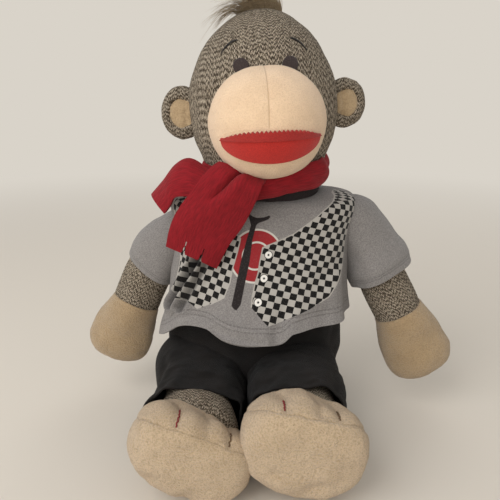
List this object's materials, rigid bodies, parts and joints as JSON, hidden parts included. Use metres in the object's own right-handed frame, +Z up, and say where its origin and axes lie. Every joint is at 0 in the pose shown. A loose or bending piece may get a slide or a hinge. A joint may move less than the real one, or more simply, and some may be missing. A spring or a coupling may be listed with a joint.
{
  "type": "sock monkey doll",
  "caption": "Seated stuffed toy monkey of marled knit with a fleece muzzle, in a T-shirt, trousers and a scarf; its head, arms and legs swing on sewn joints.",
  "frame": {"origin": "middle of the flat seat, where the doll sits on a surface, under the back of the body", "axes": "+Z up, the doll faces -Y, +X towards the doll's own left"},
  "size_m": [0.3219, 0.2122, 0.3549],
  "materials": {
    "knit": "marled brown-grey and cream rib knit",
    "stuffing": "white polyester fibrefill",
    "muzzle_fleece": "smooth cream-peach fleece",
    "upper_lip_felt": "dark red felt with a pinked edge",
    "lower_lip_felt": "red felt",
    "eye_felt": "near-black felt",
    "brow_thread": "dark embroidery thread",
    "ear_lining": "tan short-pile plush",
    "hair": "long brown faux hair",
    "mitt_fleece": "tan fleece",
    "foot_plush": "beige plush",
    "red_thread": "red thread",
    "brown_thread": "brown thread",
    "shirt_jersey": "grey heather jersey with a printed check vest, tie and buttons",
    "collar_rib": "dark brown-black rib",
    "trouser_cloth": "black woven cotton",
    "scarf_fleece": "red ribbed fleece"
  },
  "bodies": {
    "torso": {"torso": "knit", "torso_stuffing": "stuffing", "shirt_body": "shirt_jersey", "shirt_collar": "collar_rib", "trouser_seat": "trouser_cloth", "scarf_wrap": "scarf_fleece", "scarf_knot": "scarf_fleece", "scarf_loop": "scarf_fleece", "scarf_end": "scarf_fleece"},
    "neck": {"neck": "knit"},
    "head": {"head": "knit", "head_stuffing": "stuffing", "muzzle": "muzzle_fleece", "upper_lip": "upper_lip_felt", "lower_lip": "lower_lip_felt", "hair_tuft": "hair", "eye_left": "eye_felt", "eye_right": "eye_felt", "brow_left": "brow_thread", "brow_right": "brow_thread", "ear_left": "knit", "ear_right": "knit", "ear_lining_left": "ear_lining", "ear_lining_right": "ear_lining"},
    "arm_left": {"arm_left": "knit", "arm_stuffing_left": "stuffing", "mitt_left": "mitt_fleece", "sleeve_left": "shirt_jersey"},
    "arm_right": {"arm_right": "knit", "arm_stuffing_right": "stuffing", "mitt_right": "mitt_fleece", "sleeve_right": "shirt_jersey"},
    "leg_left": {"leg_left": "knit", "leg_stuffing_left": "stuffing", "foot_upper_left": "foot_plush", "foot_sole_left": "foot_plush", "trouser_leg_left": "trouser_cloth", "toe_thread_red_left": "red_thread", "toe_thread_brown_left": "brown_thread"},
    "leg_right": {"leg_right": "knit", "leg_stuffing_right": "stuffing", "foot_upper_right": "foot_plush", "foot_sole_right": "foot_plush", "trouser_leg_right": "trouser_cloth", "toe_thread_red_right": "red_thread", "toe_thread_brown_right": "brown_thread"}
  },
  "joints": [
    {"name": "neck_turn", "type": "hinge", "parent": "torso", "child": "neck", "pos_m": [0.01254, -0.028, 0.205], "axis": [0, 0, 1], "range_deg": [-25, 25]},
    {"name": "head_nod", "type": "hinge", "parent": "neck", "child": "head", "pos_m": [0.01254, -0.028, 0.205], "axis": [1, 0, 0], "range_deg": [-9, 7]},
    {"name": "arm_left_swing", "type": "hinge", "parent": "torso", "child": "arm_left", "pos_m": [0.08778, -0.028, 0.168], "axis": [1, 0, 0], "range_deg": [-80, 35]},
    {"name": "arm_right_swing", "type": "hinge", "parent": "torso", "child": "arm_right", "pos_m": [-0.06722, -0.028, 0.168], "axis": [1, 0, 0], "range_deg": [-80, 35]},
    {"name": "leg_left_swing", "type": "hinge", "parent": "torso", "child": "leg_left", "pos_m": [0.0395, -0.046, 0.038], "axis": [1, 0, 0], "range_deg": [-8, 90]},
    {"name": "leg_right_swing", "type": "hinge", "parent": "torso", "child": "leg_right", "pos_m": [-0.0445, -0.046, 0.038], "axis": [1, 0, 0], "range_deg": [-8, 90]}
  ]
}
